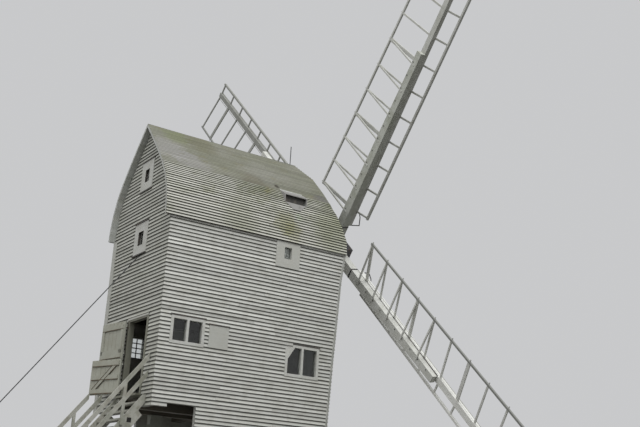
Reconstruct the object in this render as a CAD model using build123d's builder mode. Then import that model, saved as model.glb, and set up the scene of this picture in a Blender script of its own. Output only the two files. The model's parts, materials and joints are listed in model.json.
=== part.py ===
from build123d import *
import math
import os

os.makedirs("parts", exist_ok=True)

# Open-trestle post mill in millimetres, +X towards the sails, +Z up.
# It is drawn about the post's axis, and written with the origin on the
# ground in the middle of the plan, which is post_x behind the post.
post_x = 1850.0

# body
tail_x = -2750.0
half_width = 1695.0
wall = 100.0
base_z = 4300.0
skirt_z = 3550.0
skirt_rear_x = -1650.0
eave_z = 8800.0
floor_z = 4600.0
upper_floor_z = 7050.0
bin_floor_z = 9100.0
bin_floor_inset = 105.0
board = 50.0
beam = 250.0

# side outline of the breast and the roof's front end, as X and Z
breast_line = [
    (1950.0, skirt_z),
    (2070.0, 5830.0),
    (2210.0, 8000.0),
    (2320.0, eave_z),
    (2320.0, 9150.0),
    (2080.0, 10060.0),
    (1970.0, 11150.0),
    (1600.0, 11590.0),
]
corner_drop = 90.0
corner_long = 370.0

# half outline of the roof's outer face, as shares of its half width and height
roof_shape = [
    (0.0, 1.0),
    (0.31, 0.798),
    (0.53, 0.649),
    (0.70, 0.518),
    (0.835, 0.394),
    (0.929, 0.255),
    (0.977, 0.121),
    (1.0, 0.0),
]
ridge_z = 11580.0
roof_thick = 60.0
roof_half = half_width + roof_thick
roof_foot_drop = 40.0
roof_foot_z = eave_z - roof_foot_drop
roof_line = [(roof_half * y, roof_foot_z + (ridge_z - roof_foot_z) * z) for y, z in roof_shape]
fit_gap = 1.0
tail_overhang = 170.0

# trestle
pier_side = 760.0
pier_low = 850.0
cross_size = 330.0
cross_half = 3150.0
pier_radius = 2800.0
pier_high = pier_low + cross_size
bar_size = 280.0
bar_foot_radius = 2620.0
bar_head_z = 3700.0
bar_head_radius = 200.0
bar_sink = 60.0
post_foot_z = pier_high + cross_size
post_foot_radius = 430.0
post_head_radius = 300.0
crown_size = 500.0
crown_z = 6200.0
turn_gap = 0.4

# sails
hub_x = 3080.0
hub_z = 9340.0
shaft_tilt = 10.5
sail_turn = 48.5
sail_radius = 9140.0
stock_wide = 300.0
stock_deep = 220.0
stock_tip_wide = 200.0
stock_tip_deep = 150.0
inner_stock_half = 6350.0
outer_stock_half = 5200.0
stock_gap = 5.0
whip_heel = 1000.0
whip_wide = 220.0
whip_tip_wide = 150.0
whip_thick = 150.0
whip_tip_thick = 110.0
whip_shift = 30.0
first_bar = 1470.0
tip_over = 40.0
last_bar = sail_radius - tip_over
bar_count = 11
wide_bar_every = 3
plank_wide = 100.0
bar_wide_side = 48.0
bar_deep = 34.0
stay_size = 40.0
hem_across = 1374.0
hem_size = 50.0
lead_across = 380.0
lead_x = 305.0
lead_size = 60.0
lath_over = 50.0
stay_foot_back = 60.0
stay_foot_side = 60.0
hoop_radius = 14.0
hoop_heel = 950.0
hoop_head = 1450.0
hoop_out = 480.0
touch = 0.2
poll_side = 640.0
poll_long = 720.0
neck_radius = 250.0
tail_journal = 150.0
tail_journal_long = 350.0
shaft_tail_long = 500.0
shaft_hole_gap = 60.0
bearing_gap = 0.4

# stair and door
door_near_y = -1000.0
door_far_y = 0.0
door_top_z = 6390.0
jamb = 90.0
proud = 30.0
leaf_thick = 40.0
leaf_split_z = 5500.0
leaf_foot_gap = 55.0
leaf_lap = 30.0
hinge_y = 40.0
leaf_back = 5.0
leaf_edge = 10.0
hinge_x = tail_x - proud - leaf_thick - 2 * leaf_back
hinge_inset = 130.0
pin_radius = 8.0
pin_gap = 0.3
arm_gap = 3.0
arm_thick = 22.0
arm_wide = 16.0
eye_radius = 16.0
eye_high = 40.0
strap_long = 560.0
strap_thick = 8.0
leaf_gap = 5.0
lower_ledges = (90.0, 420.0, 750.0)
upper_ledges = (90.0, 790.0)
ledge_inset = 17.0
ledge_wide = 100.0
ledge_thick = 22.0
sill_out = 150.0
upper_open = 172.0
lower_open = 162.0
stair_near_y = -1380.0
stair_far_y = 280.0
stair_angle = 52.0
string_deep = 300.0
string_thick = 50.0
tread_thick = 45.0
tread_deep = 210.0
tread_back = 30.0
wall_gap = 10.0
rise = 200.0
ground_gap = 40.0
rail_deep = 90.0
rail_thick = 40.0

tilt = math.radians(shaft_tilt)
tail_beam_x = -2000.0
shaft_long = (hub_x - tail_beam_x) / math.cos(tilt)
shaft_neck_long = shaft_long - tail_journal_long
shaft_plane = Plane(
    origin=(hub_x, 0, hub_z),
    x_dir=(0, 1, 0),
    z_dir=(-math.cos(tilt), 0, -math.sin(tilt)),
)


def breast_x(z):
    """X of the breast's outer face at a given height."""
    for (xa, za), (xb, zb) in zip(breast_line, breast_line[1:]):
        if za <= z <= zb and zb > za:
            return xa + (xb - xa) * (z - za) / (zb - za)
    return breast_line[0][0]


def inward(line, depth):
    """Shift an outline of Y and Z points towards the roof's inside."""
    shifted = []
    for index, (y, z) in enumerate(line):
        before = line[max(index - 1, 0)]
        after = line[min(index + 1, len(line) - 1)]
        dy, dz = after[0] - before[0], after[1] - before[1]
        length = math.hypot(dy, dz)
        shifted.append((y + dz / length * depth, z - dy / length * depth))
    top_slope = (line[1][1] - line[0][1]) / (line[1][0] - line[0][0])
    shifted[0] = (0.0, line[0][1] - depth * math.sqrt(1 + top_slope**2))
    return shifted


def mirrored(line):
    """Full outline, from the far foot over the ridge to the near foot."""
    return [(y, z) for y, z in reversed(line)] + [(-y, z) for y, z in line[1:]]


def under(line, gap=0.0):
    """Outline of the body inside a roof line, down past the skirts."""
    top = [(y - gap if y > 0 else 0.0, z - gap) for y, z in line]
    foot = (top[-1][0], skirt_z - beam)
    return [foot, *mirrored(top), (-foot[0], foot[1])]


def save(piece, name, turn=Location()):
    """Write a finished piece, turned into its place and set out on the plan."""
    placed = piece.part.moved(Location((post_x, 0, 0)) * turn)
    placed.label = name
    export_step(placed, f"parts/{name}.step")


def stick(start, end, wide, thick, up=(0, 0, 1), mode=Mode.ADD):
    """Square bar between two points, inside the running part block."""
    axis = Vector(*end) - Vector(*start)
    side = Vector(*up).cross(axis.normalized())
    with BuildSketch(Plane(origin=start, x_dir=side, z_dir=axis.normalized())) as section:
        Rectangle(wide, thick)
    extrude(section.sketch, amount=axis.length, mode=mode)


def block(x0, x1, y0, y1, z0, z1, mode=Mode.ADD):
    """Box between corner values, inside the running part block."""
    with BuildSketch(Plane.XY.offset(z0)) as section:
        with Locations(((x0 + x1) / 2, (y0 + y1) / 2)):
            Rectangle(x1 - x0, y1 - y0)
    extrude(section.sketch, amount=z1 - z0, mode=mode)


# trestle: piers, crosstrees, quarter bars and post
with BuildPart() as brick_piers:
    for angle, height in ((45, pier_low), (225, pier_low), (135, pier_high), (315, pier_high)):
        with BuildSketch(Plane.XY):
            with PolarLocations(pier_radius, 1, start_angle=angle):
                Rectangle(pier_side, pier_side)
        extrude(amount=height)
save(brick_piers, "brick_piers")

with BuildPart() as lower_crosstree:
    with BuildSketch(Plane.XY.offset(pier_low)):
        with Locations(Location((0, 0, 0), (0, 0, 45))):
            Rectangle(2 * cross_half, cross_size)
    extrude(amount=cross_size)
save(lower_crosstree, "lower_crosstree")

with BuildPart() as upper_crosstree:
    with BuildSketch(Plane.XY.offset(pier_high)):
        with Locations(Location((0, 0, 0), (0, 0, 135))):
            Rectangle(2 * cross_half, cross_size)
    extrude(amount=cross_size)
save(upper_crosstree, "upper_crosstree")

with BuildPart() as main_post:
    with BuildSketch(Plane.XY.offset(post_foot_z)):
        RegularPolygon(post_foot_radius, 8, rotation=22.5)
    with BuildSketch(Plane.XY.offset(crown_z - turn_gap)):
        RegularPolygon(post_head_radius, 8, rotation=22.5)
    loft()
save(main_post, "main_post")

with BuildPart() as quarter_bars:
    for angle, foot in ((45, pier_low), (225, pier_low), (135, pier_high), (315, pier_high)):
        ca, sa = math.cos(math.radians(angle)), math.sin(math.radians(angle))
        start = (bar_foot_radius * ca, bar_foot_radius * sa, foot + cross_size - bar_sink)
        stick(start, (bar_head_radius * ca, bar_head_radius * sa, bar_head_z), bar_size, bar_size)
    with BuildSketch(Plane.XY.offset(post_foot_z)):
        RegularPolygon(post_foot_radius, 8, rotation=22.5)
    with BuildSketch(Plane.XY.offset(crown_z)):
        RegularPolygon(post_head_radius, 8, rotation=22.5)
    loft(mode=Mode.SUBTRACT)
    for angle, foot in ((45, pier_low), (135, pier_high)):
        with BuildSketch(Plane.XY):
            with Locations(Location((0, 0, 0), (0, 0, angle))):
                Rectangle(2 * cross_half, cross_size)
        extrude(amount=foot + cross_size, mode=Mode.SUBTRACT)
save(quarter_bars, "quarter_bars")


# body walls
def side_wall(side, name):
    """Long wall with its skirt; side is -1 for the near and +1 for the far wall."""
    outer = side * half_width
    with BuildPart() as slab:
        with BuildSketch(Plane.XZ.offset(-outer if side > 0 else -outer - wall)):
            with BuildLine():
                Polyline(
                    (tail_x, base_z),
                    (tail_x + corner_long, base_z),
                    (tail_x + corner_long, base_z + corner_drop),
                    (skirt_rear_x, base_z + corner_drop),
                    (skirt_rear_x, skirt_z),
                    *[(x, z) for x, z in breast_line[:5]],
                    (tail_x, breast_line[4][1]),
                    close=True,
                )
            make_face()
        extrude(amount=wall)
        with BuildSketch(Plane.YZ.offset(tail_x)):
            with BuildLine():
                Polyline(*under(inner_line, fit_gap), close=True)
            make_face()
        extrude(amount=2 * hub_x, mode=Mode.INTERSECT)
        for points in side_openings:
            with BuildSketch(Plane.XZ):
                with BuildLine():
                    Polyline(*points, close=True)
                make_face()
            extrude(amount=-side * 2 * half_width, mode=Mode.SUBTRACT)
    save(slab, name)


rear_window = [(-2490, 5745), (-1610, 5745), (-1610, 6395), (-2490, 6395)]
front_window = [(650, 5375), (1640, 5375), (1640, 6170), (880, 6170), (650, 5820)]
side_hatch = [(185, 8070), (890, 8070), (890, 8740), (185, 8740)]
hatch_pane = [(430, 8300), (640, 8300), (640, 8600), (430, 8600)]
blind_hatch = [(-1490, 5770), (-970, 5770), (-970, 6300), (-1490, 6300)]
side_openings = [rear_window, front_window, hatch_pane]
inner_line = inward(roof_line, roof_thick)
for side, name in ((-1, "near_wall"), (1, "far_wall")):
    side_wall(side, name)

# the ends of the side walls, which the breast and tail walls stop against
wall_top_z = breast_line[4][1]
near_edge = [
    (-half_width - wall, skirt_z - beam),
    (-half_width + wall, skirt_z - beam),
    (-half_width + wall, wall_top_z),
    (-half_width - wall, wall_top_z),
]
far_edge = [(-y, z) for y, z in near_edge]

with BuildPart() as breast_wall:
    with BuildSketch(Plane.XZ):
        with BuildLine():
            Polyline(
                *breast_line,
                *[(x - wall, z) for x, z in reversed(breast_line)],
                close=True,
            )
        make_face()
    extrude(amount=half_width - wall, both=True)
    with BuildSketch(Plane.YZ):
        with BuildLine():
            Polyline(*under(inner_line, fit_gap), close=True)
        make_face()
    extrude(amount=2 * hub_x, mode=Mode.INTERSECT)
    for points in (near_edge, far_edge):
        with BuildSketch(Plane.YZ):
            with BuildLine():
                Polyline(*points, close=True)
            make_face()
        extrude(amount=2 * hub_x, mode=Mode.SUBTRACT)
    with BuildSketch(shaft_plane):
        Circle(neck_radius + shaft_hole_gap)
    extrude(amount=shaft_long / 2, mode=Mode.SUBTRACT)
save(breast_wall, "breast_wall")

# tail wall: beside the door, and over it up to the roof
door_hole_near = door_near_y - jamb
door_hole_far = door_far_y + jamb
door_hole_top = door_top_z + jamb
middle_window = [(-430, 8100), (330, 8100), (330, 8915), (-430, 8915)]
attic_window = [(-370, 9790), (330, 9790), (330, 10590), (-370, 10590)]

with BuildPart() as tail_wall_sides:
    block(tail_x, tail_x + wall, -half_width + wall, door_hole_near, base_z, door_hole_top)
    block(tail_x, tail_x + wall, door_hole_far, half_width - wall, base_z, door_hole_top)
save(tail_wall_sides, "tail_wall_sides")

with BuildPart() as tail_wall_upper:
    with BuildSketch(Plane.YZ.offset(tail_x)):
        with BuildLine():
            Polyline(*under(inner_line, fit_gap), close=True)
        make_face()
    extrude(amount=wall)
    block(tail_x, tail_x + wall, -half_width, half_width, skirt_z - beam, door_hole_top, Mode.SUBTRACT)
    for points in (near_edge, far_edge):
        with BuildSketch(Plane.YZ.offset(tail_x)):
            with BuildLine():
                Polyline(*points, close=True)
            make_face()
        extrude(amount=wall, mode=Mode.SUBTRACT)
    for points in (middle_window, attic_window):
        with BuildSketch(Plane.YZ.offset(tail_x)):
            with BuildLine():
                Polyline(*[(y, z) for y, z in points], close=True)
            make_face()
        extrude(amount=wall, mode=Mode.SUBTRACT)
save(tail_wall_upper, "tail_wall_upper")

# hood over an opening in the near roof slope
hood_x0 = 510.0
hood_x1 = 1160.0
hood_sill_z = 9890.0
hood_lip_z = 10130.0
hood_top_z = 10340.0
hood_top_y = -0.62 * roof_half
hood_lip_y = -0.826 * roof_half
hood_thick = 25.0

# roof shell, cut at the front along the breast's outline
with BuildPart() as roof:
    with BuildSketch(Plane.YZ.offset(tail_x - tail_overhang)):
        with BuildLine():
            Polyline(*mirrored(roof_line), *reversed(mirrored(inner_line)), close=True)
        make_face()
    extrude(amount=2 * hub_x)
    with BuildSketch(Plane.XZ):
        with BuildLine():
            Polyline(
                (tail_x - tail_overhang, eave_z - 2 * roof_thick),
                (breast_x(eave_z), eave_z - 2 * roof_thick),
                *breast_line[3:],
                (tail_x - tail_overhang, ridge_z),
                close=True,
            )
        make_face()
    extrude(amount=2 * half_width, both=True, mode=Mode.INTERSECT)
    block(hood_x0, hood_x1, -half_width, -half_width / 2, hood_sill_z, hood_lip_z, Mode.SUBTRACT)
save(roof, "roof")

# floors and the beams that carry the body on the post
post_half_gap = 420.0
bin_floor_front = -600.0
with BuildPart() as floor_beams:
    for side in (-1, 1):
        block(
            tail_x + wall,
            breast_x(base_z) - wall,
            min(side * post_half_gap, side * (post_half_gap + beam)),
            max(side * post_half_gap, side * (post_half_gap + beam)),
            base_z,
            floor_z - board,
        )
    for side in (-1, 1):
        block(
            min(side * post_half_gap, side * (post_half_gap + beam)),
            max(side * post_half_gap, side * (post_half_gap + beam)),
            -half_width + wall,
            half_width - wall,
            base_z,
            floor_z - board,
        )
save(floor_beams, "floor_beams")

with BuildPart() as crown_tree:
    block(
        -crown_size / 2,
        crown_size / 2,
        -half_width + wall,
        half_width - wall,
        crown_z,
        crown_z + crown_size,
    )
save(crown_tree, "crown_tree")

girt_z = crown_z + crown_size
floor_front = breast_x(floor_z - board) - wall
upper_floor_front = breast_x(girt_z) - wall
with BuildPart() as side_girts:
    for y in (-half_width + wall, half_width - wall - beam):
        block(tail_x + wall, upper_floor_front, y, y + beam, girt_z, upper_floor_z - board)
save(side_girts, "side_girts")

with BuildPart() as floors:
    block(
        tail_x + wall,
        floor_front,
        -half_width + wall,
        half_width - wall,
        floor_z - board,
        floor_z,
    )
    block(
        -post_half_gap,
        post_half_gap,
        -post_half_gap,
        post_half_gap,
        floor_z - board,
        floor_z,
        Mode.SUBTRACT,
    )
    block(
        tail_x + wall,
        upper_floor_front,
        -half_width + wall,
        half_width - wall,
        upper_floor_z - board,
        upper_floor_z,
    )
    block(
        tail_x + wall,
        bin_floor_front,
        -half_width + bin_floor_inset,
        half_width - bin_floor_inset,
        bin_floor_z,
        bin_floor_z + board,
    )
save(floors, "floors")

# bearings of the windshaft
weather_x = 1780.0
weather_deep = 320.0
weather_high = 420.0
weather_drop = 380.0
weather_top_z = hub_z - weather_drop
tail_beam_deep = 260.0
tail_beam_high = 360.0
tail_beam_drop = 920.0
tail_beam_top_z = hub_z - tail_beam_drop
with BuildPart() as shaft_beams:
    block(
        weather_x,
        weather_x + weather_deep,
        -half_width + wall,
        half_width - wall,
        weather_top_z - weather_high,
        weather_top_z,
    )
    with BuildSketch(shaft_plane):
        Circle(neck_radius + bearing_gap)
    extrude(amount=shaft_neck_long, mode=Mode.SUBTRACT)
    block(
        tail_beam_x,
        tail_beam_x + tail_beam_deep,
        -half_width + wall,
        half_width - wall,
        tail_beam_top_z - tail_beam_high,
        tail_beam_top_z,
    )
    with BuildSketch(shaft_plane):
        Circle(tail_journal + bearing_gap)
    extrude(amount=shaft_long + shaft_tail_long, mode=Mode.SUBTRACT)
save(shaft_beams, "shaft_beams")


# window and door frames
def ring(points, inset):
    """Frame of an opening on the near or tail wall, in the running sketch."""
    with BuildLine() as outline:
        Polyline(*points, close=True)
    make_face(outline.line.edges())
    offset(amount=-inset, mode=Mode.SUBTRACT)


frame_wide = 70.0
tail_frame_wide = 230.0
glass_thick = 8.0
bar_wide = 60.0


def span(points):
    """Lowest and highest values of an opening's corners."""
    us = [u for u, v in points]
    vs = [v for u, v in points]
    return min(us), max(us), min(vs), max(vs)


with BuildPart() as window_frames:
    for side in (-1, 1):
        face = side * (half_width + proud)
        for points in (rear_window, front_window):
            u0, u1, v0, v1 = span(points)
            with BuildSketch(Plane.XZ.offset(-face)):
                ring(points, frame_wide)
                with Locations(((u0 + u1) / 2, (v0 + v1) / 2)):
                    Rectangle(bar_wide, v1 - v0 - frame_wide)
            extrude(amount=side * (wall + proud))
    for points in (middle_window, attic_window):
        with BuildSketch(Plane.YZ.offset(tail_x - proud)):
            ring(points, tail_frame_wide)
        extrude(amount=wall + proud)
save(window_frames, "window_frames")

with BuildPart() as window_glass:
    for side in (-1, 1):
        middle = side * (half_width - wall / 2)
        for points in (rear_window, front_window):
            u0, u1, v0, v1 = span(points)
            with BuildSketch(Plane.XZ.offset(-middle - glass_thick / 2)):
                with BuildLine():
                    Polyline(*points, close=True)
                make_face()
                offset(amount=-frame_wide, mode=Mode.REPLACE)
                with Locations(((u0 + u1) / 2, (v0 + v1) / 2)):
                    Rectangle(bar_wide, v1 - v0, mode=Mode.SUBTRACT)
            extrude(amount=glass_thick)
        with BuildSketch(Plane.XZ.offset(-middle - glass_thick / 2)):
            with BuildLine():
                Polyline(*hatch_pane, close=True)
            make_face()
        extrude(amount=glass_thick)
    for points in (middle_window, attic_window):
        u0, u1, v0, v1 = span(points)
        with BuildSketch(Plane.YZ.offset(tail_x + wall / 2)):
            with Locations(((u0 + u1) / 2, (v0 + v1) / 2)):
                Rectangle(u1 - u0 - 2 * tail_frame_wide, v1 - v0 - 2 * tail_frame_wide)
        extrude(amount=glass_thick)
save(window_glass, "window_glass")

with BuildPart() as side_shutters:
    for side in (-1, 1):
        face = side * (half_width + proud)
        for points in (side_hatch, blind_hatch):
            with BuildSketch(Plane.XZ.offset(-face)):
                with BuildLine():
                    Polyline(*points, close=True)
                make_face()
            extrude(amount=side * proud)
        with BuildSketch(Plane.XZ.offset(-face)):
            with BuildLine():
                Polyline(*hatch_pane, close=True)
            make_face()
        extrude(amount=side * proud, mode=Mode.SUBTRACT)
save(side_shutters, "side_shutters")

with BuildPart() as door_frame:
    block(tail_x - proud, tail_x + wall, door_hole_near, door_near_y, floor_z, door_hole_top)
    block(tail_x - proud, tail_x + wall, door_far_y, door_hole_far, floor_z, door_hole_top)
    block(tail_x - proud, tail_x + wall, door_near_y, door_far_y, door_top_z, door_hole_top)
    block(tail_x - sill_out, tail_x + wall, door_hole_near, door_hole_far, floor_z - board, floor_z)
save(door_frame, "door_frame")


# door leaves, hung on the far jamb and standing open
def leaf(name, low, high, angle, ledges, braced):
    """One leaf of the stable door with ledges on its inner face, swung out."""
    width = hinge_y - leaf_edge - (door_near_y - leaf_lap)
    ledge_long = door_far_y - door_near_y - 2 * ledge_inset
    ledge_middle = hinge_y + (door_far_y - door_near_y) / 2
    with BuildPart() as door:
        closed = Plane(origin=(hinge_x, hinge_y, low), x_dir=(0, -1, 0), z_dir=(0, 0, 1))
        turn = closed.rotated((0, 0, -angle))
        with BuildSketch(turn):
            with Locations((leaf_edge + width / 2, leaf_back + leaf_thick / 2)):
                Rectangle(width, leaf_thick)
        extrude(amount=high - low)
        back = Plane(
            origin=turn.from_local_coords((ledge_middle, leaf_back + leaf_thick, 0)),
            x_dir=turn.x_dir,
            z_dir=-turn.y_dir,
        )
        with BuildSketch(back):
            for z in ledges:
                with Locations((0, z)):
                    Rectangle(ledge_long, ledge_wide)
            if braced:
                with BuildLine():
                    Polyline(
                        (-ledge_long / 2, ledges[-1]),
                        (-ledge_long / 2 + 1.5 * ledge_wide, ledges[-1]),
                        (ledge_long / 2, ledges[0]),
                        (ledge_long / 2 - 1.5 * ledge_wide, ledges[0]),
                        close=True,
                    )
                make_face()
            else:
                for x in (-1, 1):
                    with Locations((x * (ledge_long - ledge_wide) / 2, (ledges[0] + ledges[-1]) / 2)):
                        Rectangle(ledge_wide, ledges[-1] - ledges[0])
        extrude(amount=-ledge_thick)
        for z in hinge_heights(low, high):
            with BuildSketch(turn.offset(z - low - eye_high / 2)):
                Circle(eye_radius)
                with Locations((strap_long / 2, leaf_back - strap_thick / 2)):
                    Rectangle(strap_long, strap_thick)
                Circle(pin_radius + pin_gap, mode=Mode.SUBTRACT)
            extrude(amount=eye_high)
    save(door, name)


def hinge_heights(low, high):
    """Middle heights of a leaf's two hinges."""
    return low + hinge_inset, high - hinge_inset


lower_leaf_z = (floor_z + leaf_foot_gap, leaf_split_z - leaf_gap)
upper_leaf_z = (leaf_split_z + leaf_gap, door_top_z + leaf_lap)
leaf("door_lower_leaf", *lower_leaf_z, lower_open, lower_ledges, True)
leaf("door_upper_leaf", *upper_leaf_z, upper_open, upper_ledges, False)

with BuildPart() as door_pintles:
    for z in (*hinge_heights(*lower_leaf_z), *hinge_heights(*upper_leaf_z)):
        arm_top = z - eye_high / 2 - arm_gap
        arm_low = arm_top - arm_thick
        block(
            hinge_x,
            tail_x - proud,
            hinge_y - arm_wide / 4,
            hinge_y + 0.75 * arm_wide,
            arm_low,
            arm_top,
        )
        with BuildSketch(Plane.XY.offset(arm_low)):
            with Locations((hinge_x, hinge_y)):
                Circle(pin_radius)
        extrude(amount=arm_thick + eye_high + 4 * arm_gap)
save(door_pintles, "door_pintles")

# stair: strings, treads, rails
slope = math.tan(math.radians(stair_angle))
stair_back = 40.0
stair_top_x = tail_x - stair_back
landing_z = floor_z
string_top_z = landing_z - board
shoulder_z = 4090.0
shoulder_high = 90.0
tongue_deep = 160.0
mortise_x = tail_x - 395.0
mortise_z = 3910.0
mortise_side = 80.0


def stair_x(z):
    """X of the line through the tread noses at a given height."""
    return stair_top_x - (landing_z - z) / slope


string_run = string_deep / math.sin(math.radians(stair_angle))
tongue_run = tongue_deep / math.sin(math.radians(stair_angle))
tongue_back_z = landing_z - (stair_top_x + tongue_run - tail_x) * slope
with BuildPart() as stair_strings:
    for y in (stair_near_y, stair_far_y - string_thick):
        with BuildSketch(Plane.XZ.offset(-y - string_thick)):
            with BuildLine():
                Polyline(
                    (stair_x(string_top_z), string_top_z),
                    (stair_x(ground_gap), ground_gap),
                    (stair_x(ground_gap) + string_run, ground_gap),
                    (stair_x(shoulder_z) + string_run, shoulder_z),
                    (stair_x(shoulder_z + shoulder_high) + tongue_run, shoulder_z + shoulder_high),
                    (tail_x, tongue_back_z),
                    (tail_x, string_top_z),
                    close=True,
                )
            make_face()
        extrude(amount=string_thick)
    block(
        mortise_x,
        mortise_x + mortise_side,
        stair_near_y,
        stair_near_y + string_thick / 2,
        mortise_z,
        mortise_z + mortise_side,
        Mode.SUBTRACT,
    )
save(stair_strings, "stair_strings")

tread_count = int((landing_z - ground_gap) / rise) - 1
with BuildPart() as stair_treads:
    for step in range(1, tread_count + 1):
        z = landing_z - step * rise
        x = stair_x(z) + tread_back
        back_limit = tail_x - wall_gap if z > base_z - wall_gap else tail_x + beam
        block(
            x,
            min(x + tread_deep, back_limit),
            stair_near_y + string_thick,
            stair_far_y - string_thick,
            z - tread_thick,
            z,
        )
save(stair_treads, "stair_treads")


def handrail(y, outward, top_z, posts):
    """Rails and posts of one stair side, in the running part block."""
    plane = Plane.XZ.offset(-y if outward < 0 else -y - rail_thick)
    for height in (rail_up, rail_mid):
        start_z = min(top_z, landing_z + height)
        foot_z = ground_gap + height + rail_foot
        drop = rail_deep / math.cos(math.radians(stair_angle))
        with BuildSketch(plane) as section:
            with BuildLine() as outline:
                Polyline(
                    (stair_x(start_z - height), start_z),
                    (stair_x(foot_z - height), foot_z),
                    (stair_x(foot_z - height), foot_z - drop),
                    (stair_x(start_z - height), start_z - drop),
                    close=True,
                )
            make_face(outline.line.edges())
        extrude(section.sketch, amount=rail_thick)
    for nose_z in posts:
        with BuildSketch(plane) as section:
            with Locations((stair_x(nose_z), nose_z + rail_up / 2 - rail_deep)):
                Rectangle(rail_post, rail_up + rail_deep)
        extrude(section.sketch, amount=rail_thick)


rail_up = 890.0
rail_mid = 490.0
rail_post = 70.0
rail_foot = 250.0
post_pitch = 1000.0
near_post_drop = 640.0
far_post_drop = 1250.0
far_rail_top = floor_z + leaf_foot_gap / 2
near_posts = [landing_z - near_post_drop - post_pitch * index for index in range(4)]
far_posts = [landing_z - far_post_drop - post_pitch * index for index in range(3)]
with BuildPart() as handrails:
    handrail(stair_near_y, -1, 2 * landing_z, near_posts)
    handrail(stair_far_y, 1, far_rail_top, far_posts)
save(handrails, "handrails")

# tail pole beside the stair, with the cable that holds up its end
pole_y = 480.0
pole_size = 190.0
pole_start = (-1500.0, pole_y, 4100.0)
socket_long = 300.0
socket_wide = 200.0
pole_end = (-8370.3, pole_y, 1150.0)
with BuildPart() as tail_pole:
    stick(pole_start, pole_end, pole_size, pole_size, up=(0, 1, 0))
    block(
        pole_start[0] - socket_long,
        pole_start[0],
        pole_y - socket_wide / 2,
        pole_y + socket_wide / 2,
        pole_start[2] - board,
        base_z,
    )
save(tail_pole, "tail_pole")

cable_drop = 730.0
cable_radius = 12.0
cable_end_x = -7250.0
plate_thick = 14.0
plate_half = 35.0
plate_over = 25.0
plate_under = 75.0
pole_slope = (pole_start[2] - pole_end[2]) / (pole_start[0] - pole_end[0])
cable_top = (tail_x - cable_radius, -60.0, eave_z - cable_drop)
cable_end_z = pole_end[2] + (cable_end_x - pole_end[0]) * pole_slope + pole_size / 2 + plate_over
cable_end = (cable_end_x, pole_y, cable_end_z)
with BuildPart() as stay_cable:
    with BuildLine() as cable:
        Line(cable_top, cable_end)
    with BuildSketch(Plane(origin=cable_top, z_dir=cable.line % 0)):
        Circle(cable_radius)
    sweep()
    for x0, x1, (y, z) in (
        (tail_x - plate_thick, tail_x, cable_top[1:]),
        (cable_end_x - plate_half, cable_end_x + plate_half, cable_end[1:]),
    ):
        block(x0, x1, y - plate_half, y + plate_half, z - plate_under, z + plate_over)
    stick(pole_start, pole_end, pole_size, pole_size, up=(0, 1, 0), mode=Mode.SUBTRACT)
save(stay_cable, "stay_cable")

rod_x = 1450.0
rod_high = 540.0
rod_radius = 12.0
with BuildPart() as lightning_rod:
    with BuildSketch(Plane.XY.offset(ridge_z - 2 * rod_radius)):
        with Locations((rod_x, 0)):
            Circle(rod_radius)
    extrude(amount=rod_high + 2 * rod_radius)
    with BuildSketch(Plane.YZ.offset(rod_x - 2 * rod_radius)):
        with BuildLine():
            Polyline(*under(roof_line), close=True)
        make_face()
    extrude(amount=4 * rod_radius, mode=Mode.SUBTRACT)
save(lightning_rod, "lightning_rod")

# a sloping lid on two cheeks, let down onto the roof's outer face
with BuildPart() as roof_hood:
    with BuildSketch(Plane.YZ.offset(hood_x0 - hood_thick)):
        with BuildLine():
            Polyline(
                (hood_top_y, hood_top_z),
                (hood_lip_y, hood_lip_z),
                (hood_lip_y, hood_lip_z - hood_thick),
                (hood_top_y, hood_top_z - 3 * hood_thick),
                close=True,
            )
        make_face()
    extrude(amount=hood_x1 - hood_x0 + 2 * hood_thick)
    for x in (hood_x0 - hood_thick, hood_x1):
        with BuildSketch(Plane.YZ.offset(x)):
            with BuildLine():
                Polyline(
                    (hood_top_y, hood_top_z),
                    (hood_lip_y, hood_lip_z),
                    (hood_lip_y, hood_sill_z - hood_thick),
                    (hood_top_y, hood_sill_z - hood_thick),
                    close=True,
                )
            make_face()
        extrude(amount=hood_thick)
    with BuildSketch(Plane.YZ.offset(tail_x)):
        with BuildLine():
            Polyline(*under(roof_line), close=True)
        make_face()
    extrude(amount=2 * hub_x, mode=Mode.SUBTRACT)
save(roof_hood, "roof_hood")

# sails: everything is drawn about the shaft as X with the sail upright,
# then turned, tilted and put at the hub
hub = Plane(
    origin=(hub_x, 0, hub_z),
    x_dir=(math.cos(tilt), 0, math.sin(tilt)),
    z_dir=(-math.sin(tilt), 0, math.cos(tilt)),
)


def mount(piece, name, quarter=0):
    """Save a piece that is drawn about the shaft with its sail upright."""
    save(piece, name, hub.location * Rot(sail_turn + 90 * quarter, 0, 0))


with BuildPart() as windshaft:
    with BuildSketch(Plane.YZ.offset(-poll_long / 2)):
        Circle(neck_radius)
    extrude(amount=-(shaft_neck_long - poll_long / 2))
    with BuildSketch(Plane.YZ.offset(-shaft_neck_long)):
        Circle(tail_journal)
    extrude(amount=-shaft_tail_long)
mount(windshaft, "windshaft")


def half_stock(half, front, mode=Mode.ADD):
    """Half of a tapered stock with a straight front face, in the running part block."""
    sections = []
    for height, wide, deep in ((0, stock_wide, stock_deep), (half, stock_tip_wide, stock_tip_deep)):
        with BuildSketch(Plane.XY.offset(height)) as section:
            with Locations((front - deep / 2, 0)):
                Rectangle(deep, wide)
        sections.append(section.sketch.face())
    loft(sections, mode=mode)


outer_front = stock_gap + stock_deep
inner_front = -stock_gap
with BuildPart() as outer_stock:
    half_stock(outer_stock_half, outer_front)
    mirror(about=Plane.XY)
mount(outer_stock, "outer_stock", 1)

with BuildPart() as inner_stock:
    half_stock(inner_stock_half, inner_front)
    mirror(about=Plane.XY)
mount(inner_stock, "inner_stock")

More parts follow.
